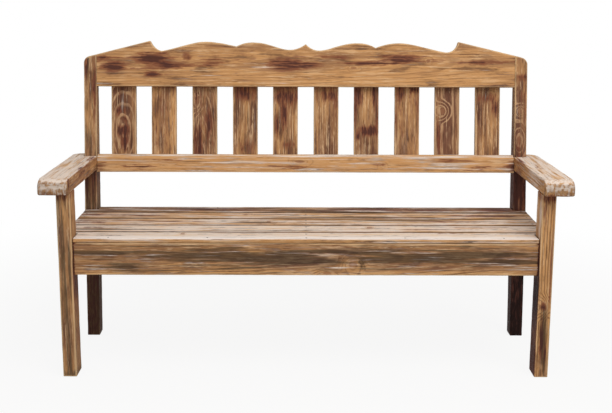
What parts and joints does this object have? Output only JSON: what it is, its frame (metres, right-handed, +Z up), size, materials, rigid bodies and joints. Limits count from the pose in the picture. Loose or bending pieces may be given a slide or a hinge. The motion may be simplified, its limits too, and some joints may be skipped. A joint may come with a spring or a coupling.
{
  "type": "slatted armbench",
  "caption": "Rustic wooden armbench with a slatted seat, upright back slats, flat arms with rolled noses and a scroll-sawn crest rail, to stand on a floor.",
  "frame": {"origin": "on the floor, under the middle of the bench's box", "axes": "+X along the bench to the sitter's left, as seen from the front to the right; +Y from the seat's front to the back; +Z up"},
  "size_m": [1.595, 0.5916, 1.0004],
  "materials": {
    "burnt_pine": "torch-burnt and wire-brushed softwood, satin oil",
    "bleached_pine": "burnt softwood worn pale by use and sun",
    "charred_pine": "deeply burnt softwood, matt",
    "blackened_steel": "black oxide on steel, matt"
  },
  "bodies": {
    "root": {"front_leg_left": "burnt_pine", "front_leg_right": "burnt_pine", "rear_post_left": "burnt_pine", "rear_post_right": "burnt_pine", "arm_left": "bleached_pine", "arm_right": "bleached_pine", "crest_rail": "burnt_pine", "lower_back_rail": "burnt_pine", "back_slat_01": "burnt_pine", "back_slat_02": "burnt_pine", "back_slat_03": "burnt_pine", "back_slat_04": "burnt_pine", "back_slat_05": "burnt_pine", "back_slat_06": "burnt_pine", "back_slat_07": "burnt_pine", "back_slat_08": "burnt_pine", "back_slat_09": "burnt_pine", "back_slat_10": "burnt_pine", "seat_slat_1": "bleached_pine", "seat_slat_2": "bleached_pine", "seat_slat_3": "bleached_pine", "seat_slat_4": "bleached_pine", "seat_slat_5": "bleached_pine", "front_apron": "burnt_pine", "rear_seat_rail": "charred_pine", "side_rail_left": "charred_pine", "side_rail_right": "charred_pine", "middle_bearer": "charred_pine", "seat_nails": "blackened_steel", "back_slat_screws": "blackened_steel", "arm_screws": "blackened_steel"}
  },
  "joints": []
}
